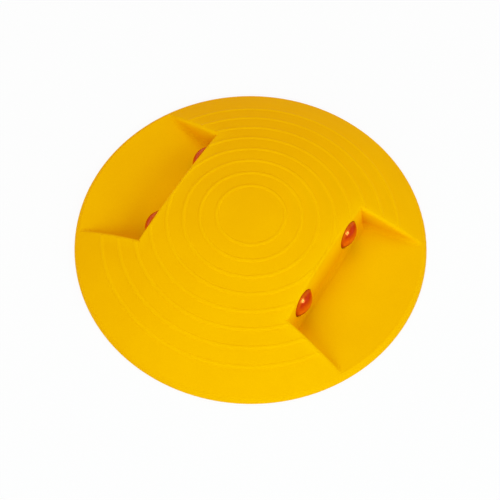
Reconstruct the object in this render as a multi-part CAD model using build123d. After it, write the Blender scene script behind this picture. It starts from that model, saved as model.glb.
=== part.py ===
from build123d import *
import os
from math import acos, cos, degrees, radians, sin, sqrt

# A round road stud: a moulded yellow dome with two opposite recesses. A pair of round reflectors
# looks out of the back wall of each recess. Millimetres, +Z up. The origin is the middle of the flat
# base on the road, and the recesses face +X (front) and -X (rear).

# Dome
BODY_DIAMETER = 200.0
CROWN_HEIGHT = 30.0
RIM_THICKNESS = 2.6
RIM_ROUND = 4.0

# Raised rings on the dome
RING_COUNT = 8
FIRST_RING_RADIUS = 19.0
RING_PITCH = 9.23
RING_WIDTH = 2.4
RING_STAND_OUT = 0.3

# Recesses: the distance and the width of the walls are measured at the height of the lens axis
WALL_DISTANCE = 48.6
WALL_DRAFT = 8.5
RECESS_WIDTH = 81.0
SIDE_SPLAY = 8.2
SIDE_DRAFT = 1.0
FLOOR_HEIGHT = 4.2
FLOOR_FILLET = 2.8
EDGE_ROUND = 1.8

# Hollow underside with its ribs
SHELL_THICKNESS = 4.0
BACK_WALL_THICKNESS = 6.0
SIDE_WALL_THICKNESS = 4.0
BASE_BAND_WIDTH = 14.0
RIB_THICKNESS = 3.0
RIB_LIFT = 1.5
RIB_ANGLE_STEP = 15.0
RIB_COUNT_PER_SIDE = 7
INNER_RIB_RING_RADIUS = 50.0
OUTER_RIB_RING_RADIUS = 68.0
BOSS_RADIUS = 14.5

# Threaded insert in the boss: the thread is a plain hole of its minor diameter
INSERT_ACROSS_FLATS = 18.0
INSERT_LENGTH = 18.0
INSERT_GROOVE_WIDTH = 4.0
INSERT_GROOVE_DEPTH = 1.0
THREAD_MINOR_DIAMETER = 10.2
THREAD_DEPTH = 15.0
THREAD_CHAMFER = 1.0

# Lenses
REFLECTOR_SPACING = 50.0
LENS_HEIGHT = 13.5
LENS_TILT = 3.0
LENS_DIAMETER = 16.4
LENS_DOME_RADIUS = 10.2
LENS_STAND_OUT = 4.0
LENS_CLEARANCE = 0.2
LENS_FLANGE_WIDTH = 0.9
LENS_FLANGE_THICKNESS = 3.0
LENS_BACK_RADIUS = 14.0
LENS_BACK_LAND = 0.6

# Seals, mirrors and retainers behind the lenses
SEAL_THICKNESS = 1.0
MIRROR_THICKNESS = 0.5
SOCKET_WALL = 2.2
RETAINER_CLEARANCE = 0.05
RETAINER_SETBACK = 3.5
RETAINER_BACKING = 2.6
SNAP_HEIGHT = 0.3
SNAP_LENGTH = 1.6
SLOT_WIDTH = 2.0
SLOT_LENGTH = 12.0
SLOT_DEPTH = 1.4

# Sizes that follow from the ones above
BODY_RADIUS = BODY_DIAMETER / 2
DOME_RISE = CROWN_HEIGHT - RIM_THICKNESS
DOME_RADIUS = (BODY_RADIUS**2 + DOME_RISE**2) / (2 * DOME_RISE)
DOME_CENTRE = Vector(0, 0, CROWN_HEIGHT - DOME_RADIUS)
CAVITY_RADIUS = BODY_RADIUS - BASE_BAND_WIDTH
NECK_RADIUS = LENS_DIAMETER / 2
BORE_RADIUS = NECK_RADIUS + LENS_CLEARANCE
FLANGE_RADIUS = NECK_RADIUS + LENS_FLANGE_WIDTH
SOCKET_RADIUS = FLANGE_RADIUS + LENS_CLEARANCE
MIRROR_RADIUS = NECK_RADIUS + MIRROR_THICKNESS

# Places along a lens axis, from the face of the wall outwards
SHOULDER = -BACK_WALL_THICKNESS
FLANGE_FRONT = SHOULDER - SEAL_THICKNESS
FLANGE_BACK = FLANGE_FRONT - LENS_FLANGE_THICKNESS
RETAINER_FRONT = FLANGE_BACK - RETAINER_SETBACK
RETAINER_BACK = FLANGE_BACK - MIRROR_RADIUS - RETAINER_BACKING
SNAP_MIDDLE = (RETAINER_FRONT + RETAINER_BACK) / 2

# Longer than anything in the stud: the size of a half space
BIG = 3 * BODY_DIAMETER
# How far cutters reach into the open air
OVERSHOOT = 3.0

ENDS = {"front": 0.0, "rear": 180.0}
SIDES = {"left": 1, "right": -1}


def dome_point(radius, lift=0.0):
    """The (radius, height) of a point on the dome's surface, or lifted off it."""
    centre = Vector(0, DOME_CENTRE.Z)
    outwards = Vector(radius, sqrt(DOME_RADIUS**2 - radius**2)) / DOME_RADIUS
    return centre + outwards * (DOME_RADIUS + lift)


def dome_arc(inner, outer):
    """The stretch of the dome's outline between two distances from the axis."""
    start = degrees(acos(outer / DOME_RADIUS))
    return CenterArc((0, DOME_CENTRE.Z), DOME_RADIUS, start, degrees(acos(inner / DOME_RADIUS)) - start)


def half_space(plane):
    """The solid on the side of a plane that its normal points to."""
    return plane * Box(BIG, BIG, BIG, align=(Align.CENTER, Align.CENTER, Align.MIN))


def turned(edges):
    """A solid of revolution about Z from a closed outline of (radius, height) edges."""
    return revolve(Plane.XZ * make_face(edges), Axis.Z)


def turned_points(*points):
    """A solid of revolution about Z from the corners of its half section."""
    return revolve(Plane.XZ * make_face(Polyline(*points, close=True)), Axis.Z)


def both_ends(solid):
    """A solid at the front and its copy at the rear."""
    return [Rot(0, 0, turn) * solid for turn in ENDS.values()]


# Planes of the front recess: each normal points into its open air
def back_plane():
    """The back wall, leaning back by its draft."""
    lean = radians(WALL_DRAFT)
    return Plane((WALL_DISTANCE, 0, LENS_HEIGHT), x_dir=(0, 1, 0), z_dir=(cos(lean), 0, sin(lean)))


def side_plane(side):
    """A side wall, opening outwards by its splay and upwards by its draft."""
    splay = radians(SIDE_SPLAY)
    lean = radians(SIDE_DRAFT)
    corner = (WALL_DISTANCE, side * RECESS_WIDTH / 2, LENS_HEIGHT)
    along = (cos(splay), side * sin(splay), 0)
    facing = (sin(splay) * cos(lean), -side * cos(splay) * cos(lean), sin(lean))
    return Plane(corner, x_dir=along, z_dir=facing)


def floor_plane():
    """The floor, level, so that it runs out into the rounding of the rim."""
    return Plane.XY.offset(FLOOR_HEIGHT)


def recess_walls(growth_back=0.0, growth_side=0.0):
    """The space between the three walls, which can be moved back into the material."""
    space = half_space(back_plane().offset(-growth_back))
    for side in SIDES.values():
        space = space & half_space(side_plane(side).offset(-growth_side))
    return space


def edge_cutter(plane):
    """What a rounding takes off the edge between a flat wall and the dome, all round the dome."""
    along = (plane.origin - DOME_CENTRE).dot(plane.z_dir)
    ball_along = along - EDGE_ROUND
    ball_out = sqrt((DOME_RADIUS - EDGE_ROUND) ** 2 - ball_along**2)
    edge_out = sqrt(DOME_RADIUS**2 - along**2)
    ball = Vector(ball_along, ball_out)
    dome_side = ball.normalized()
    middle = (dome_side + Vector(1, 0)).normalized()
    on_wall = Vector(along, ball_out)
    on_dome = ball + dome_side * EDGE_ROUND
    outline = [
        Polyline(
            on_wall,
            (along + OVERSHOOT, ball_out),
            (along + OVERSHOOT, edge_out + OVERSHOOT),
            on_dome + dome_side * OVERSHOOT,
            on_dome,
        ),
        ThreePointArc(on_dome, ball + middle * EDGE_ROUND, on_wall),
    ]
    section = Plane(DOME_CENTRE, x_dir=plane.z_dir, z_dir=plane.x_dir) * make_face(outline)
    return revolve(section, Axis(DOME_CENTRE, plane.z_dir))


def mitre(first, second, corner):
    """The space nearer to the first of two walls that meet in a corner."""
    return half_space(Plane(corner, z_dir=second.z_dir - first.z_dir))


def recess_cutter():
    """The air of one recess, which also takes off its top edges and rounds the creases of its floor."""
    above_floor = half_space(floor_plane())
    front_only = half_space(Plane.YZ)
    back = back_plane()
    back_edge = edge_cutter(back)
    air = recess_walls() & above_floor
    for side in SIDES.values():
        wall = side_plane(side)
        back_edge = back_edge & mitre(back, wall, wall.origin)
        side_edge = edge_cutter(wall) & mitre(wall, back, wall.origin)
        air = air + (side_edge & front_only & above_floor)
    air = air + (back_edge & front_only & above_floor)
    floor = air.faces().sort_by(Axis.Z)[0]
    back_and_side_creases = floor.edges().sort_by(Axis.X)[:3]
    return fillet(back_and_side_creases, FLOOR_FILLET)


# Body
def dome():
    """The dome with its raised rings and its rounded rim, before anything is cut out of it."""
    edges = [Polyline((0, CROWN_HEIGHT), (0, 0), (BODY_RADIUS, 0), (BODY_RADIUS, RIM_THICKNESS))]
    plain_from = 0.0
    for index in range(RING_COUNT):
        middle = FIRST_RING_RADIUS + index * RING_PITCH
        inner = middle - RING_WIDTH / 2
        outer = middle + RING_WIDTH / 2
        edges.append(dome_arc(plain_from, inner))
        edges.append(ThreePointArc(dome_point(inner), dome_point(middle, RING_STAND_OUT), dome_point(outer)))
        plain_from = outer
    edges.append(dome_arc(plain_from, BODY_RADIUS))
    section = make_face(edges)
    corner = section.vertices().sort_by_distance((BODY_RADIUS, RIM_THICKNESS))[0]
    return revolve(Plane.XZ * fillet(corner, RIM_ROUND), Axis.Z)


def on_lens_axis(side, solid):
    """Place a piece of a front reflector: its own Z is the lens axis, zero at the wall's face."""
    tilt = radians(LENS_TILT)
    origin = (WALL_DISTANCE, side * REFLECTOR_SPACING / 2, LENS_HEIGHT)
    return Plane(origin, x_dir=(0, 1, 0), z_dir=(cos(tilt), 0, sin(tilt))) * solid


def snap_outline(radius, clearance):
    """The snap bead of a retainer, or with a clearance the groove for it."""
    half = SNAP_LENGTH / 2 + clearance
    top = radius + SNAP_HEIGHT
    return [(radius, SNAP_MIDDLE - half), (top, SNAP_MIDDLE), (radius, SNAP_MIDDLE + half)]


def socket_hollow():
    """The stepped hole that a reflector is fed into from behind."""
    return turned_points(
        (0, RETAINER_BACK - OVERSHOOT),
        (SOCKET_RADIUS, RETAINER_BACK - OVERSHOOT),
        *snap_outline(SOCKET_RADIUS, RETAINER_CLEARANCE),
        (SOCKET_RADIUS, SHOULDER),
        (BORE_RADIUS, SHOULDER),
        (BORE_RADIUS, LENS_STAND_OUT + OVERSHOOT),
        (0, LENS_STAND_OUT + OVERSHOOT),
    )


def socket_tube():
    """The tube of plastic round that hole, from the back wall to the end of the retainer."""
    outer = SOCKET_RADIUS + SOCKET_WALL
    return turned_points((0, RETAINER_BACK), (outer, RETAINER_BACK), (outer, 0), (0, 0))


def ribs():
    """Radial ribs and ring ribs, which stop short of the base so that glue can spread."""
    low = (Align.MIN, Align.CENTER, Align.MIN)
    lifted = Pos(0, 0, RIB_LIFT)
    result = []
    first = 90 - RIB_ANGLE_STEP * (RIB_COUNT_PER_SIDE - 1) / 2
    for half_turn in ENDS.values():
        for index in range(RIB_COUNT_PER_SIDE):
            turn = half_turn + first + index * RIB_ANGLE_STEP
            rib = Pos(INNER_RIB_RING_RADIUS, 0, 0) * Box(BODY_RADIUS, RIB_THICKNESS, CROWN_HEIGHT, align=low)
            result.append(Rot(0, 0, turn) * lifted * rib)
    for turn in (0, 90, 180, 270):
        spoke = Box(INNER_RIB_RING_RADIUS, RIB_THICKNESS, CROWN_HEIGHT, align=low)
        result.append(Rot(0, 0, turn) * lifted * spoke)
    for radius in (INNER_RIB_RING_RADIUS, OUTER_RIB_RING_RADIUS):
        inner = radius - RIB_THICKNESS / 2
        outer = radius + RIB_THICKNESS / 2
        result.append(
            turned_points(
                (inner, RIB_LIFT), (outer, RIB_LIFT), (outer, CROWN_HEIGHT), (inner, CROWN_HEIGHT)
            )
        )
    return result


def cavity():
    """The hollow under the shell, less the ribs, the boss and the sockets that stand in it."""
    inside = Pos(DOME_CENTRE) * Sphere(DOME_RADIUS - SHELL_THICKNESS)
    hollow = inside & Cylinder(CAVITY_RADIUS, BIG) & half_space(Plane.XY)
    for solid in both_ends(recess_walls(BACK_WALL_THICKNESS, SIDE_WALL_THICKNESS)):
        hollow = hollow - solid
    structure = ribs() + [Cylinder(BOSS_RADIUS, BIG)]
    for side in SIDES.values():
        structure += both_ends(on_lens_axis(side, socket_tube()))
    return hollow - structure


def insert_blank():
    """The outside of the threaded insert: a hexagon with a keying groove round it."""
    hexagon = RegularPolygon(INSERT_ACROSS_FLATS / 2, 6, major_radius=False)
    blank = extrude(hexagon, INSERT_LENGTH)
    groove_radius = INSERT_ACROSS_FLATS / 2 - INSERT_GROOVE_DEPTH
    low = (INSERT_LENGTH - INSERT_GROOVE_WIDTH) / 2
    groove = turned_points(
        (groove_radius, low),
        (INSERT_ACROSS_FLATS, low),
        (INSERT_ACROSS_FLATS, low + INSERT_GROOVE_WIDTH),
        (groove_radius, low + INSERT_GROOVE_WIDTH),
    )
    return blank - groove


def body_shell():
    """The yellow moulding."""
    body = dome() - both_ends(recess_cutter())
    body = body - cavity()
    for side in SIDES.values():
        body = body - both_ends(on_lens_axis(side, socket_hollow()))
    return body - insert_blank()


# Fittings
def anchor_insert():
    """The threaded insert, with a blind hole that opens downwards."""
    minor = THREAD_MINOR_DIAMETER / 2
    hole = turned_points(
        (0, 0),
        (minor + THREAD_CHAMFER, 0),
        (minor, THREAD_CHAMFER),
        (minor, THREAD_DEPTH),
        (0, THREAD_DEPTH),
    )
    return insert_blank() - hole


def lens():
    """A reflector's lens: domed front, straight neck, flange and gently domed back."""
    start = degrees(acos(NECK_RADIUS / LENS_DOME_RADIUS))
    dome_centre = LENS_STAND_OUT - LENS_DOME_RADIUS
    neck_front = dome_centre + sqrt(LENS_DOME_RADIUS**2 - NECK_RADIUS**2)
    back_radius = NECK_RADIUS - LENS_BACK_LAND
    back_centre = FLANGE_BACK + sqrt(LENS_BACK_RADIUS**2 - back_radius**2)
    back_start = degrees(acos(back_radius / LENS_BACK_RADIUS))
    edges = [
        CenterArc((0, dome_centre), LENS_DOME_RADIUS, start, 90 - start),
        Polyline(
            (NECK_RADIUS, neck_front),
            (NECK_RADIUS, FLANGE_FRONT),
            (FLANGE_RADIUS, FLANGE_FRONT),
            (FLANGE_RADIUS, FLANGE_BACK),
            (back_radius, FLANGE_BACK),
        ),
        CenterArc((0, back_centre), LENS_BACK_RADIUS, -90, 90 - back_start),
        Line((0, back_centre - LENS_BACK_RADIUS), (0, LENS_STAND_OUT)),
    ]
    return turned(edges)


def seal():
    """The flat rubber ring between the wall's shoulder and the lens flange."""
    return turned_points(
        (BORE_RADIUS, FLANGE_FRONT),
        (FLANGE_RADIUS, FLANGE_FRONT),
        (FLANGE_RADIUS, SHOULDER),
        (BORE_RADIUS, SHOULDER),
    )


def mirror_cup():
    """The thin silvered bowl behind the lens, with a rim that the lens flange sits on."""
    rim_back = FLANGE_BACK - MIRROR_THICKNESS
    rim_start = sqrt(MIRROR_RADIUS**2 - MIRROR_THICKNESS**2)
    turn = degrees(acos(rim_start / MIRROR_RADIUS))
    edges = [
        CenterArc((0, FLANGE_BACK), NECK_RADIUS, -90, 90),
        Polyline(
            (NECK_RADIUS, FLANGE_BACK),
            (FLANGE_RADIUS, FLANGE_BACK),
            (FLANGE_RADIUS, rim_back),
            (rim_start, rim_back),
        ),
        CenterArc((0, FLANGE_BACK), MIRROR_RADIUS, -90, 90 - turn),
        Line((0, FLANGE_BACK - MIRROR_RADIUS), (0, FLANGE_BACK - NECK_RADIUS)),
    ]
    return turned(edges)


def retainer():
    """The plug that snaps into the socket behind the mirror, with a slot for a tool."""
    outer = SOCKET_RADIUS - RETAINER_CLEARANCE
    blank = turned_points(
        (0, RETAINER_BACK),
        (outer, RETAINER_BACK),
        *snap_outline(outer, 0),
        (outer, RETAINER_FRONT),
        (0, RETAINER_FRONT),
    )
    seat = Pos(0, 0, FLANGE_BACK) * Sphere(MIRROR_RADIUS + RETAINER_CLEARANCE)
    slot = Pos(0, 0, RETAINER_BACK) * Box(SLOT_LENGTH, SLOT_WIDTH, 2 * SLOT_DEPTH)
    return blank - seat - slot


def pieces():
    """Every piece of the stud under the name of its node."""
    result = {"body_shell": body_shell(), "anchor_insert": anchor_insert()}
    fittings = {"lens": lens(), "seal": seal(), "mirror": mirror_cup(), "retainer": retainer()}
    for end, turn in ENDS.items():
        for side_name, side in SIDES.items():
            for name, solid in fittings.items():
                result[f"{end}_{side_name}_{name}"] = Rot(0, 0, turn) * on_lens_axis(side, solid)
    return result


os.makedirs("parts", exist_ok=True)
for node, solid in pieces().items():
    export_step(solid, f"parts/{node}.step")
    print(node, len(solid.solids()), round(solid.volume, 1))
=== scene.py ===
import logging
from dataclasses import dataclass
from enum import Enum
from math import asin, cos, pi, radians, sin, sqrt, tan
from typing import Any, Mapping, Optional, Protocol, Union

import bmesh
import bpy
from mathutils import Matrix, Vector


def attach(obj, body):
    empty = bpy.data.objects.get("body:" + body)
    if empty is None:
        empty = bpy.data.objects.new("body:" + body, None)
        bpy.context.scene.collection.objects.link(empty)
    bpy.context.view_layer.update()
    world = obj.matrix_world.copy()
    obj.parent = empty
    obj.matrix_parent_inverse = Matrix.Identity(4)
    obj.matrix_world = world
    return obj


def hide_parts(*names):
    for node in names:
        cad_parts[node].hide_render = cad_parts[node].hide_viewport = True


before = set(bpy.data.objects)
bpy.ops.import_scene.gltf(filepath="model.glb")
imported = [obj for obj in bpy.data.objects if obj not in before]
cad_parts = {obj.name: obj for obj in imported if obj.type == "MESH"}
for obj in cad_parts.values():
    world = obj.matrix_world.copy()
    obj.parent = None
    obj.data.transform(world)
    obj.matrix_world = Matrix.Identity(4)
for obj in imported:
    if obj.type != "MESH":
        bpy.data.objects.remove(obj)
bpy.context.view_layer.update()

# The looks of a round yellow road stud with two pairs of round amber reflectors. Sizes are in
# millimetres, as in the part's source, and become metres where a mesh or a material needs them.
# Distances in the studio, and the sizes of its lights and floor, are in metres. Angles are in degrees.

BODY = "root"
MM = 0.001

Tint = tuple[float, float, float]
Colour = tuple[float, float, float, float]
WHITE: Colour = (1.0, 1.0, 1.0, 1.0)
COOL: Tint = (0.57, 1.0, 1.0)
WARM: Tint = (1.0, 0.82, 0.5)

log = logging.getLogger("road_stud")


class End(Enum):
    """The two ways that the stud looks, as turns about the upright axis in degrees."""

    FRONT = 0.0
    REAR = 180.0


class Side(Enum):
    """The two reflectors of a pair, as the sign of their place along the back wall."""

    LEFT = 1
    RIGHT = -1


class Wire:
    """An output in a material's nodes. Python operators on it add Math nodes."""

    def __init__(self, recipe: "Recipe", socket: bpy.types.NodeSocket) -> None:
        """Wrap an output socket of a recipe."""
        self.recipe = recipe
        self.socket = socket

    def __add__(self, other: "Value") -> "Wire":
        """Sum."""
        return self.recipe.maths("ADD", self, other)

    def __radd__(self, other: "Value") -> "Wire":
        """Sum with a number on the left."""
        return self.recipe.maths("ADD", other, self)

    def __sub__(self, other: "Value") -> "Wire":
        """Difference."""
        return self.recipe.maths("SUBTRACT", self, other)

    def __rsub__(self, other: "Value") -> "Wire":
        """Difference with a number on the left."""
        return self.recipe.maths("SUBTRACT", other, self)

    def __mul__(self, other: "Value") -> "Wire":
        """Product."""
        return self.recipe.maths("MULTIPLY", self, other)

    def __rmul__(self, other: "Value") -> "Wire":
        """Product with a number on the left."""
        return self.recipe.maths("MULTIPLY", other, self)

    def __truediv__(self, other: "Value") -> "Wire":
        """Quotient."""
        return self.recipe.maths("DIVIDE", self, other)

    def __rtruediv__(self, other: "Value") -> "Wire":
        """Quotient with a number on the left."""
        return self.recipe.maths("DIVIDE", other, self)

    def __pow__(self, other: "Value") -> "Wire":
        """Power."""
        return self.recipe.maths("POWER", self, other)

    def __rpow__(self, other: "Value") -> "Wire":
        """Power with a number on the left."""
        return self.recipe.maths("POWER", other, self)


Value = Union[Wire, float, int, tuple]


@dataclass(frozen=True)
class Clouds:
    """A cloudy pattern: how many clouds there are in a metre, and how many finer layers they have."""

    per_metre: float
    layers: float = 2.0


@dataclass(frozen=True)
class Relief:
    """How much of a height pattern shows, and the depth in millimetres of a whole step of it."""

    strength: float
    depth: float


class Recipe:
    """The nodes of one material."""

    def __init__(self, name: str) -> None:
        """Start an empty material.

        Args:
            name: The material's name.
        """
        self.material = bpy.data.materials.new(name)
        self.material.use_nodes = True
        self.tree = self.material.node_tree
        self.tree.nodes.clear()

    def node(
        self,
        kind: str,
        settings: Optional[Mapping[str, Any]] = None,
        inputs: Optional[Mapping[str, Value]] = None,
        output: Optional[str] = None,
    ) -> Wire:
        """Add a node.

        Args:
            kind: The node's type.
            settings: Its own settings, which are set before its sockets. A ramp's stops are a list of
                (place, colour) under the key stops.
            inputs: A value or a wire for each input socket, by the socket's identifier.
            output: The identifier of the output that is wanted, or None for the first.

        Returns:
            That output.
        """
        node = self.tree.nodes.new(kind)
        for key, value in (settings or {}).items():
            if key == "stops":
                elements = node.color_ramp.elements
                while len(elements) < len(value):
                    elements.new(1.0)
                for element, (position, colour) in zip(elements, value):
                    element.position = position
                    element.color = colour
            else:
                setattr(node, key, value)
        sockets = {socket.identifier: socket for socket in node.inputs}
        for key, value in (inputs or {}).items():
            if isinstance(value, Wire):
                self.tree.links.new(value.socket, sockets[key])
            else:
                sockets[key].default_value = value
        outputs = {socket.identifier: socket for socket in node.outputs}
        chosen = outputs[output] if output else next(iter(outputs.values()), None)
        return Wire(self, chosen)

    def maths(self, operation: str, *values: Value) -> Wire:
        """The result of a Math node for some values, in their order."""
        inputs = dict(zip(("Value", "Value_001"), values))
        return self.node("ShaderNodeMath", {"operation": operation}, inputs)

    def place(self) -> Wire:
        """The place on the object, in metres."""
        return self.node("ShaderNodeTexCoord", output="Object")

    def parts(self, vector: Wire) -> tuple[Wire, Wire, Wire]:
        """Take a vector apart.

        Args:
            vector: The vector.

        Returns:
            Its three numbers.
        """
        first = self.node("ShaderNodeSeparateXYZ", inputs={"Vector": vector})
        sockets = first.socket.node.outputs
        return first, Wire(self, sockets[1]), Wire(self, sockets[2])

    def noise(self, place: Wire, clouds: Clouds) -> Wire:
        """A cloudy pattern, about 0.5 on average, read at a place."""
        inputs = {"Vector": place, "Scale": clouds.per_metre, "Detail": clouds.layers}
        return self.node("ShaderNodeTexNoise", inputs=inputs)

    def step(self, value: Wire, low: float, high: float) -> Wire:
        """A soft step from 0, where a value is low, to 1, where it is high."""
        inputs = {"Value": value, "From Min": low, "From Max": high}
        return self.node("ShaderNodeMapRange", {"interpolation_type": "SMOOTHSTEP"}, inputs)

    def mix(self, amount: Value, first: Value, second: Value) -> Wire:
        """A colour between two colours: the first at an amount of 0, the second at 1."""
        inputs = {"Factor_Float": amount, "A_Color": first, "B_Color": second}
        return self.node("ShaderNodeMix", {"data_type": "RGBA"}, inputs, "Result_Color")

    def bump(self, height: Wire, relief: Relief) -> Wire:
        """A normal that makes a height pattern show."""
        inputs = {"Height": height, "Strength": relief.strength, "Distance": relief.depth * MM}
        return self.node("ShaderNodeBump", inputs=inputs)

    def shine(self, **sockets: Value) -> Wire:
        """A Principled shader with these inputs, which have _ for a space in their names."""
        inputs = {key.replace("_", " "): value for key, value in sockets.items()}
        return self.node("ShaderNodeBsdfPrincipled", inputs=inputs)

    def done(self, shader: Wire) -> bpy.types.Material:
        """The finished material, whose surface shows a shader."""
        self.node("ShaderNodeOutputMaterial", inputs={"Surface": shader})
        return self.material


class Finish(Protocol):
    """What a piece is made of."""

    def material(self) -> bpy.types.Material:
        """Make the material."""


@dataclass(frozen=True)
class Dome:
    """The dome, which is part of a sphere, and its raised rings."""

    diameter: float = 200.0
    crown_height: float = 30.0
    rim_thickness: float = 2.6
    ring_stand_out: float = 0.3

    @property
    def radius(self) -> float:
        """The radius of the sphere."""
        rise = self.crown_height - self.rim_thickness
        return ((self.diameter / 2) ** 2 + rise**2) / (2 * rise)


@dataclass(frozen=True)
class Recess:
    """A recess in the dome, and the places of the two reflectors in its back wall.

    The distance of the back wall and the width are measured at the height of the lens axis.
    """

    wall_distance: float = 48.6
    wall_draft: float = 8.5
    width: float = 81.0
    side_splay: float = 8.2
    floor_height: float = 4.2
    lens_height: float = 13.5
    lens_tilt: float = 3.0
    lens_spacing: float = 50.0
    lens_diameter: float = 16.4


@dataclass(frozen=True)
class BodyPlastic:
    """Satin yellow plastic, with a painted highlight on its rings and edges and painted shade in its creases.

    The crest of a ring starts and ends at shares of its stand-out. The depth of an edge, and where a
    crease starts and ends, are shares of the height of the wall.
    """

    yellow: Colour = (0.905, 0.468, 0.0, 1.0)
    deep_yellow: Colour = (0.885, 0.448, 0.0, 1.0)
    # Painted highlight: a paler yellow on the ring crests and on the dome beside the top edges of the walls.
    highlight_yellow: Colour = (0.94, 0.52, 0.0, 1.0)
    # Painted shade: a deeper orange where the walls of the recesses meet the floor.
    shade_orange: Colour = (0.80, 0.31, 0.0, 1.0)
    sheen: Colour = (1.0, 0.72, 0.05, 1.0)
    dome: Dome = Dome()
    recess: Recess = Recess()
    crest_starts: float = 0.3
    crest_ends: float = 0.95
    least_wall: float = 1.0
    tall_wall: float = 10.0
    edge_reach: float = 9.0
    edge_depth: float = 0.6
    crease_reach: float = 4.0
    crease_starts: float = 0.2
    crease_ends: float = 1.05
    skin_outside: float = -0.8
    skin_inside: float = -0.3
    crest_highlight_share: float = 0.35
    edge_highlight_share: float = 0.6
    crease_shade_share: float = 0.8
    clouds: Clouds = Clouds(45.0, 3.0)
    speckle: Clouds = Clouds(900.0)
    grain: Clouds = Clouds(2600.0, 3.0)
    cloud_share: float = 0.6
    deep_tone: float = 0.35
    plain_tone: float = 0.65
    least_roughness: float = 0.40
    cloud_roughness: float = 0.10
    crest_polish: float = 0.06
    relief: Relief = Relief(0.12, 0.05)
    gloss: float = 0.012

    def edges(self, recipe: Recipe, place: tuple[Wire, Wire, Wire], roof: Wire) -> tuple[Wire, Wire]:
        """Where the painted light along the edges and the painted shade in the creases of the recesses go.

        Args:
            recipe: The material.
            place: The three coordinates of the place.
            roof: The height of the dome over it.

        Returns:
            A value that rises to 1 at the top edges of the walls, for painted light, and one that rises to
            1 where the walls meet the floor, for painted shade.
        """
        x, y, z = place
        recess = self.recess
        out = recipe.maths("ABSOLUTE", x) - recess.wall_distance * MM
        from_back = out + (z - recess.lens_height * MM) * tan(radians(recess.wall_draft))
        half_width = out * tan(radians(recess.side_splay)) + recess.width / 2 * MM
        from_side = half_width - recipe.maths("ABSOLUTE", y)
        from_wall = recipe.maths("MINIMUM", from_back, from_side)
        wall_height = recipe.maths("MAXIMUM", roof - recess.floor_height * MM, self.least_wall * MM)
        depth = (roof - z) / wall_height
        tall = recipe.step(wall_height, 0.0, self.tall_wall * MM)
        # Painted light: a band on the dome beside the top edges of the walls.
        near_wall = recipe.step(from_wall, -self.edge_reach * MM, 0.0)
        edge = near_wall * (1.0 - recipe.step(depth, 0.0, self.edge_depth))
        # Painted shade: a band on the lower walls and the floor next to them.
        near_crease = 1.0 - recipe.step(from_wall, 0.0, self.crease_reach * MM)
        crease = recipe.step(depth, self.crease_starts, self.crease_ends) * near_crease
        inside = recipe.step(from_wall, self.skin_outside * MM, self.skin_inside * MM)
        return edge * tall, crease * inside * tall

    def material(self) -> bpy.types.Material:
        """Make the material.

        Returns:
            The material.
        """
        recipe = Recipe("body_plastic")
        place = recipe.place()
        x, y, z = recipe.parts(place)
        radius = self.dome.radius * MM
        ring = self.dome.ring_stand_out * MM
        roof = recipe.maths("SQRT", radius**2 - (x * x + y * y)) - (radius - self.dome.crown_height * MM)
        crest = recipe.step(z - roof, self.crest_starts * ring, self.crest_ends * ring)
        clouds = recipe.noise(place, self.clouds)
        speckle = recipe.noise(place, self.speckle)
        tone = clouds * self.cloud_share + speckle * (1.0 - self.cloud_share)
        plain = recipe.step(tone, self.deep_tone, self.plain_tone)
        edge, crease = self.edges(recipe, (x, y, z), roof)
        colour = recipe.mix(plain, self.deep_yellow, self.yellow)
        # Painted highlight on the crests of the rings.
        colour = recipe.mix(crest * self.crest_highlight_share, colour, self.highlight_yellow)
        # Painted light on the dome along the top edges of the recess walls.
        colour = recipe.mix(edge * self.edge_highlight_share, colour, self.highlight_yellow)
        # Painted shade in the creases where the walls meet the floor.
        colour = recipe.mix(crease * self.crease_shade_share, colour, self.shade_orange)
        shader = recipe.shine(
            Base_Color=colour,
            Roughness=self.least_roughness + clouds * self.cloud_roughness - crest * self.crest_polish,
            Normal=recipe.bump(recipe.noise(place, self.grain), self.relief),
            Specular_IOR_Level=self.gloss,
            Specular_Tint=self.sheen,
        )
        return recipe.done(shader)


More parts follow.
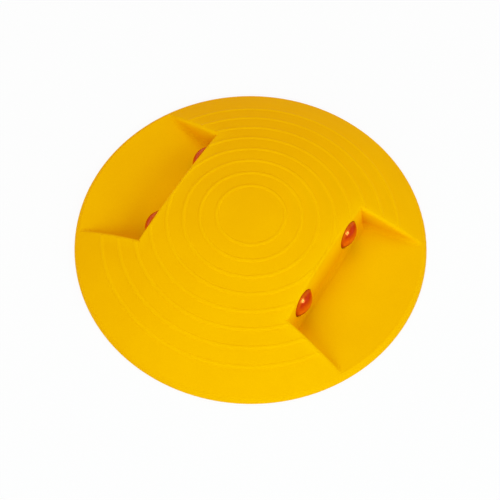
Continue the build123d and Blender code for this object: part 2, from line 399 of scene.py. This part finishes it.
@dataclass(frozen=True)
class AmberLens:
    """Polished amber with painted light and shade: red shade near its top, lit orange across its middle,
    and painted shade round its lower edge.

    Levels are shares of the height of the lens. The rim starts and ends at shares of its radius.
    """

    # Painted light and shade on the amber: a darker red near the top, a lit orange across the middle, and a
    # darker red round the lower edge and rim.
    red: Colour = (0.62, 0.034, 0.001, 1.0)
    orange: Colour = (0.84, 0.145, 0.002, 1.0)
    low_shade_red: Colour = (0.45, 0.030, 0.001, 1.0)
    rim_red: Colour = (0.70, 0.100, 0.001, 1.0)
    sheen: Colour = (1.0, 0.42, 0.08, 1.0)
    recess: Recess = Recess()
    dark_level: float = 0.33
    orange_level: float = 0.46
    orange_end: float = 0.57
    red_level: float = 0.80
    rim_dark_level: float = 0.40
    rim_red_level: float = 0.70
    rim_starts: float = 0.82
    rim_ends: float = 0.96
    clouds: Clouds = Clouds(160.0)
    unevenness: float = 0.10
    least_roughness: float = 0.17
    cloud_roughness: float = 0.04
    clearness: float = 0.12
    bending: float = 1.5
    gloss: float = 0.06

    def material(self) -> bpy.types.Material:
        """Make the material, which serves all four lenses because they mirror each other.

        Returns:
            The material.
        """
        recipe = Recipe("lens_amber")
        place = recipe.place()
        x, y, z = recipe.parts(place)
        recess = self.recess
        radius = recess.lens_diameter / 2 * MM
        out = recipe.maths("ABSOLUTE", x) - recess.wall_distance * MM
        across = recipe.maths("ABSOLUTE", y) - recess.lens_spacing / 2 * MM
        up = z - recess.lens_height * MM - out * tan(radians(recess.lens_tilt))
        clouds = recipe.noise(place, self.clouds)
        uneven = (clouds - 0.5) * self.unevenness
        ring = (across * across + up * up) ** 0.5 / radius + uneven
        level = up / (2 * radius) + 0.5 + uneven
        # The ramp paints shade near the top and bottom of the lens and light across its middle.
        stops = [
            (self.dark_level, self.low_shade_red),
            (self.orange_level, self.orange),
            (self.orange_end, self.orange),
            (self.red_level, self.red),
        ]
        face = recipe.node("ShaderNodeValToRGB", {"stops": stops}, {"Fac": level}, "Color")
        # The rim is painted shade, darkest at the bottom and lighter towards the top.
        rim_height = recipe.step(level, self.rim_dark_level, self.rim_red_level)
        rim = recipe.mix(rim_height, self.low_shade_red, self.rim_red)
        shader = recipe.shine(
            Base_Color=recipe.mix(recipe.step(ring, self.rim_starts, self.rim_ends), face, rim),
            Roughness=self.least_roughness + clouds * self.cloud_roughness,
            Transmission_Weight=self.clearness,
            IOR=self.bending,
            Specular_IOR_Level=self.gloss,
            Specular_Tint=self.sheen,
        )
        return recipe.done(shader)


@dataclass(frozen=True)
class GrainedBlack:
    """A black moulding with clouds of a paler black and a fine grain."""

    name: str
    black: Colour
    pale_black: Colour
    clouds: Clouds
    grain: Clouds
    relief: Relief
    least_roughness: float
    cloud_roughness: float = 0.15

    def material(self) -> bpy.types.Material:
        """Make the material.

        Returns:
            The material.
        """
        recipe = Recipe(self.name)
        place = recipe.place()
        clouds = recipe.noise(place, self.clouds)
        shader = recipe.shine(
            Base_Color=recipe.mix(clouds, self.black, self.pale_black),
            Roughness=self.least_roughness + clouds * self.cloud_roughness,
            Normal=recipe.bump(recipe.noise(place, self.grain), self.relief),
        )
        return recipe.done(shader)


@dataclass(frozen=True)
class SealRubber(GrainedBlack):
    """Matt black rubber."""

    name: str = "seal_rubber"
    black: Colour = (0.022, 0.022, 0.022, 1.0)
    pale_black: Colour = (0.045, 0.044, 0.043, 1.0)
    clouds: Clouds = Clouds(300.0, 3.0)
    grain: Clouds = Clouds(5000.0)
    relief: Relief = Relief(0.2, 0.03)
    least_roughness: float = 0.7


@dataclass(frozen=True)
class RetainerPlastic(GrainedBlack):
    """Black plastic with a fine spark-eroded grain."""

    name: str = "retainer_plastic"
    black: Colour = (0.030, 0.030, 0.033, 1.0)
    pale_black: Colour = (0.055, 0.055, 0.058, 1.0)
    clouds: Clouds = Clouds(200.0, 3.0)
    grain: Clouds = Clouds(3500.0, 3.0)
    relief: Relief = Relief(0.25, 0.04)
    least_roughness: float = 0.48


@dataclass(frozen=True)
class SilveredBowl:
    """Bright pressed metal."""

    silver: Colour = (0.90, 0.90, 0.92, 1.0)
    dull: Colour = (0.78, 0.79, 0.81, 1.0)
    clouds: Clouds = Clouds(250.0, 3.0)
    least_roughness: float = 0.06
    cloud_roughness: float = 0.1

    def material(self) -> bpy.types.Material:
        """Make the material.

        Returns:
            The material.
        """
        recipe = Recipe("mirror_silver")
        clouds = recipe.noise(recipe.place(), self.clouds)
        shader = recipe.shine(
            Base_Color=recipe.mix(clouds, self.dull, self.silver),
            Roughness=self.least_roughness + clouds * self.cloud_roughness,
            Metallic=1.0,
        )
        return recipe.done(shader)


@dataclass(frozen=True)
class TurnedBrass:
    """Brass with the fine rings that turning leaves."""

    brass: Colour = (0.80, 0.58, 0.24, 1.0)
    tarnish: Colour = (0.52, 0.35, 0.14, 1.0)
    clouds: Clouds = Clouds(220.0, 4.0)
    tarnish_starts: float = 0.35
    tarnish_ends: float = 0.75
    rings_per_mm: float = 4.0
    relief: Relief = Relief(0.08, 0.02)
    least_roughness: float = 0.22
    cloud_roughness: float = 0.16
    ring_roughness: float = 0.06

    def material(self) -> bpy.types.Material:
        """Make the material.

        Returns:
            The material.
        """
        recipe = Recipe("insert_brass")
        place = recipe.place()
        x, y, _ = recipe.parts(place)
        radius = (x * x + y * y) ** 0.5
        marks = recipe.maths("SINE", radius * (2 * pi * self.rings_per_mm / MM)) * 0.5 + 0.5
        clouds = recipe.noise(place, self.clouds)
        tarnished = recipe.step(clouds, self.tarnish_starts, self.tarnish_ends)
        rough = self.least_roughness + clouds * self.cloud_roughness + marks * self.ring_roughness
        shader = recipe.shine(
            Base_Color=recipe.mix(tarnished, self.brass, self.tarnish),
            Roughness=rough,
            Metallic=1.0,
            Normal=recipe.bump(marks, self.relief),
        )
        return recipe.done(shader)


@dataclass(frozen=True)
class PaleFloor:
    """A white floor: it keeps the shadow, and shows white where none falls."""

    white: Colour = (0.86, 0.86, 0.86, 1.0)
    off_white: Colour = (0.84, 0.84, 0.84, 1.0)
    clouds: Clouds = Clouds(6.0)
    roughness: float = 0.9
    glow: float = 0.9

    def material(self) -> bpy.types.Material:
        """Make the material.

        Returns:
            The material.
        """
        recipe = Recipe("pale_floor")
        clouds = recipe.noise(recipe.place(), self.clouds)
        matt = recipe.shine(
            Base_Color=recipe.mix(clouds, self.off_white, self.white),
            Roughness=self.roughness,
            Specular_IOR_Level=0.0,
        )
        light = recipe.node("ShaderNodeEmission", inputs={"Color": WHITE, "Strength": 1.0})
        amount = seen_directly(recipe) * self.glow
        inputs = {"Fac": amount, "Shader": matt, "Shader_001": light}
        return recipe.done(recipe.node("ShaderNodeMixShader", inputs=inputs))


def seen_directly(recipe: Recipe) -> Wire:
    """Where the camera looks at a surface, or sees it in metal or glass.

    Args:
        recipe: The material or world that asks.

    Returns:
        1 for such rays, 0 for those that only light the object.
    """
    camera = recipe.node("ShaderNodeLightPath", output="Is Camera Ray")
    outputs = {socket.identifier: socket for socket in camera.socket.node.outputs}
    glossy = Wire(recipe, outputs["Is Glossy Ray"])
    through = Wire(recipe, outputs["Is Transmission Ray"])
    return recipe.maths("MINIMUM", camera + glossy + through, 1.0)


class WorldRecipe(Recipe):
    """The nodes of the world."""

    def __init__(self, world: bpy.types.World) -> None:
        """Start from an empty world.

        Args:
            world: The world.
        """
        world.use_nodes = True
        self.tree = world.node_tree
        self.tree.nodes.clear()


@dataclass
class Fitting:
    """Pieces whose solids are right as they are, and only get their finish."""

    nodes: tuple[str, ...]
    finish: Finish

    def dress(self) -> None:
        """Give every node the finish."""
        material = self.finish.material()
        for name in self.nodes:
            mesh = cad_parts[name].data
            mesh.materials.clear()
            mesh.materials.append(material)
            log.info("%s keeps its solid, finish %s", name, material.name)


@dataclass
class Lens:
    """The amber lens of one reflector, remade as a fine mesh of revolution."""

    end: End
    side: Side
    recess: Recess = Recess()
    dome_radius: float = 10.2
    stand_out: float = 4.0
    wall_thickness: float = 6.0
    seal_thickness: float = 1.0
    flange_width: float = 0.9
    flange_thickness: float = 3.0
    back_radius: float = 14.0
    back_land: float = 0.6
    turns: int = 96
    arc_steps: int = 20
    weld: float = 1e-4
    sharp_angle: float = 35.0

    @property
    def node(self) -> str:
        """The name of the solid that it stands for."""
        return f"{self.end.name.lower()}_{self.side.name.lower()}_lens"

    def stand(self) -> Matrix:
        """Place the lens: its own Z is the lens axis, zero at the face of the wall.

        Returns:
            The transform from the lens, in millimetres, to the frame.
        """
        recess = self.recess
        lean = Matrix.Rotation(radians(90 - recess.lens_tilt), 4, "Y")
        along = self.side.value * recess.lens_spacing / 2
        at = Matrix.Translation((recess.wall_distance, along, recess.lens_height))
        return Matrix.Scale(MM, 4) @ Matrix.Rotation(radians(self.end.value), 4, "Z") @ at @ lean

    def arc(
        self, mesh: bmesh.types.BMesh, start: bmesh.types.BMVert, centre: float, angle: float
    ) -> bmesh.types.BMVert:
        """Draw an arc of the half section.

        Args:
            mesh: The half section.
            start: The corner that the arc starts from.
            centre: The height of its centre, on the lens axis.
            angle: How far it turns about the Y axis.

        Returns:
            The corner that it ends in.
        """
        made = bmesh.ops.spin(
            mesh, geom=[start], cent=(0, 0, centre), axis=(0, 1, 0), angle=angle, steps=self.arc_steps
        )
        return next(item for item in made["geom_last"] if isinstance(item, bmesh.types.BMVert))

    def line(
        self, mesh: bmesh.types.BMesh, start: bmesh.types.BMVert, *corners: tuple[float, float]
    ) -> bmesh.types.BMVert:
        """Draw straight edges of the half section.

        Args:
            mesh: The half section.
            start: The corner that they start from.
            corners: The (radius, height) of each next corner.

        Returns:
            The last corner.
        """
        for radius, height in corners:
            made = bmesh.ops.extrude_vert_indiv(mesh, verts=[start])
            (vert,) = made["verts"]
            bmesh.ops.translate(mesh, verts=[vert], vec=Vector((radius, 0, height)) - vert.co)
            start = vert
        return start

    def draw(self, mesh: bmesh.types.BMesh) -> None:
        """Draw the half section, from the tip of the dome to the middle of the back.

        Args:
            mesh: An empty mesh.
        """
        neck = self.recess.lens_diameter / 2
        flange = neck + self.flange_width
        flange_front = -self.wall_thickness - self.seal_thickness
        flange_back = flange_front - self.flange_thickness
        back = neck - self.back_land
        back_centre = flange_back + sqrt(self.back_radius**2 - back**2)
        tip = bmesh.ops.create_vert(mesh, co=(0, 0, self.stand_out))["vert"][0]
        edge = self.arc(mesh, tip, self.stand_out - self.dome_radius, asin(neck / self.dome_radius))
        end = self.line(
            mesh,
            edge,
            (neck, flange_front),
            (flange, flange_front),
            (flange, flange_back),
            (back, flange_back),
        )
        self.arc(mesh, end, back_centre, asin(back / self.back_radius))

    def build(self) -> bpy.types.Object:
        """Make the lens by spinning its half section.

        Returns:
            Its object.
        """
        mesh = bmesh.new()
        self.draw(mesh)
        profile = mesh.verts[:] + mesh.edges[:]
        bmesh.ops.spin(
            mesh, geom=profile, cent=(0, 0, 0), axis=(0, 0, 1), angle=2 * pi, steps=self.turns, use_merge=True
        )
        bmesh.ops.remove_doubles(mesh, verts=mesh.verts, dist=self.weld)
        bmesh.ops.recalc_face_normals(mesh, faces=mesh.faces)
        bmesh.ops.transform(mesh, matrix=self.stand(), verts=mesh.verts)
        for face in mesh.faces:
            face.smooth = True
        data = bpy.data.meshes.new(f"{self.node}_clear")
        mesh.to_mesh(data)
        mesh.free()
        data.set_sharp_from_angle(angle=radians(self.sharp_angle))
        piece = bpy.data.objects.new(f"{self.node}_clear", data)
        bpy.context.scene.collection.objects.link(piece)
        return piece

    def dress(self, material: bpy.types.Material) -> bpy.types.Object:
        """Build the lens, give it its finish and put it in place of its solid.

        Args:
            material: The finish.

        Returns:
            Its object.
        """
        piece = self.build()
        piece.data.materials.append(material)
        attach(piece, BODY)
        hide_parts(self.node)
        log.info("%s stands for %s, %d faces", piece.name, self.node, len(piece.data.polygons))
        return piece


@dataclass
class SoftBox:
    """A round soft light that faces the stud."""

    name: str
    direction: tuple[float, float, float]
    power: float
    tint: Tint = COOL
    distance: float = 1.5
    size: float = 1.1

    def build(self) -> bpy.types.Object:
        """Make the light.

        Returns:
            Its object.
        """
        lamp = bpy.data.lights.new(self.name, "AREA")
        lamp.shape = "DISK"
        lamp.size = self.size
        lamp.energy = self.power
        lamp.color = self.tint
        towards = Vector(self.direction).normalized()
        light = bpy.data.objects.new(self.name, lamp)
        turn = towards.to_track_quat("Z", "Y").to_matrix().to_4x4()
        light.matrix_world = Matrix.Translation(towards * self.distance) @ turn
        bpy.context.scene.collection.objects.link(light)
        log.info("light %s, %.1f W", self.name, self.power)
        return light


@dataclass
class CatchLight(SoftBox):
    """A small light that only shows as a bright spot in the lenses."""

    name: str = "catch_light"
    direction: tuple[float, float, float] = (0.94, 0.0, 0.33)
    power: float = 58.0
    tint: Tint = WARM
    distance: float = 1.2
    size: float = 0.36

    def shine_on(self, pieces: list[bpy.types.Object]) -> None:
        """Make the light for some pieces alone.

        Args:
            pieces: The pieces that it lights.
        """
        light = self.build()
        light.visible_diffuse = False
        group = bpy.data.collections.new(self.name)
        for piece in pieces:
            group.objects.link(piece)
        light.light_linking.receiver_collection = group


@dataclass
class Studio:
    """The floor, the light tent, the soft boxes and the camera."""

    floor_size: float = 40.0
    floor_gap: float = 0.00005
    tent: Colour = (0.53, 0.21, 0.20, 1.0)
    soft_boxes: tuple[SoftBox, ...] = (
        SoftBox("right_box", (0.866, 0.0, 0.5), 13.9),
        SoftBox("front_box", (0.0, -0.866, 0.5), 13.0),
        SoftBox("back_box", (-0.455, 0.455, 0.766), 9.2),
    )
    azimuth: float = 30.719
    elevation: float = 60.696
    roll: float = 0.507
    distance: float = 0.75
    target: tuple[float, float, float] = (0.002777, -0.005283, 0.0)
    focal_length: float = 95.22
    sensor: float = 36.0
    sight: float = 100.0

    def build(self) -> None:
        """Make everything that isn't part of the stud."""
        self.build_floor()
        self.build_world()
        self.build_camera()
        for box in self.soft_boxes:
            box.build()

    def build_floor(self) -> None:
        """Make the floor, just under the base."""
        mesh = bmesh.new()
        bmesh.ops.create_grid(mesh, x_segments=1, y_segments=1, size=self.floor_size / 2)
        bmesh.ops.translate(mesh, verts=mesh.verts, vec=(0, 0, -self.floor_gap))
        data = bpy.data.meshes.new("floor")
        mesh.to_mesh(data)
        mesh.free()
        data.materials.append(PaleFloor().material())
        floor = bpy.data.objects.new("floor", data)
        bpy.context.scene.collection.objects.link(floor)

    def build_world(self) -> None:
        """Make the light tent, which shows as white."""
        world = bpy.data.worlds.new("light_tent")
        bpy.context.scene.world = world
        recipe = WorldRecipe(world)
        colour = recipe.mix(seen_directly(recipe), self.tent, WHITE)
        light = recipe.node("ShaderNodeBackground", inputs={"Color": colour, "Strength": 1.0})
        recipe.node("ShaderNodeOutputWorld", inputs={"Surface": light})

    def build_camera(self) -> None:
        """Make the camera at the photograph's angle."""
        data = bpy.data.cameras.new("camera")
        data.lens = self.focal_length
        data.sensor_width = self.sensor
        data.clip_end = self.sight
        camera = bpy.data.objects.new("camera", data)
        azimuth = radians(self.azimuth)
        level = cos(radians(self.elevation))
        back = Vector((level * sin(azimuth), -level * cos(azimuth), sin(radians(self.elevation))))
        eye = Vector(self.target) + back * self.distance
        roll = Matrix.Rotation(radians(self.roll), 4, "Z")
        turn = back.to_track_quat("Z", "Y").to_matrix().to_4x4() @ roll
        camera.matrix_world = Matrix.Translation(eye) @ turn
        bpy.context.scene.collection.objects.link(camera)
        bpy.context.scene.camera = camera


def fitting_nodes(kind: str) -> tuple[str, ...]:
    """The names of one kind of fitting at all four places."""
    return tuple(f"{end.name.lower()}_{side.name.lower()}_{kind}" for end in End for side in Side)


def main() -> None:
    """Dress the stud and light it."""
    logging.basicConfig(level=logging.INFO, format="%(message)s")
    bpy.context.scene.view_settings.view_transform = "Standard"
    Studio().build()
    for fitting in (
        Fitting(("body_shell",), BodyPlastic()),
        Fitting(("anchor_insert",), TurnedBrass()),
        Fitting(fitting_nodes("seal"), SealRubber()),
        Fitting(fitting_nodes("mirror"), SilveredBowl()),
        Fitting(fitting_nodes("retainer"), RetainerPlastic()),
    ):
        fitting.dress()
    amber = AmberLens().material()
    lenses = [Lens(end, side).dress(amber) for end in End for side in Side]
    CatchLight().shine_on(lenses)


if __name__ == "__main__":
    main()
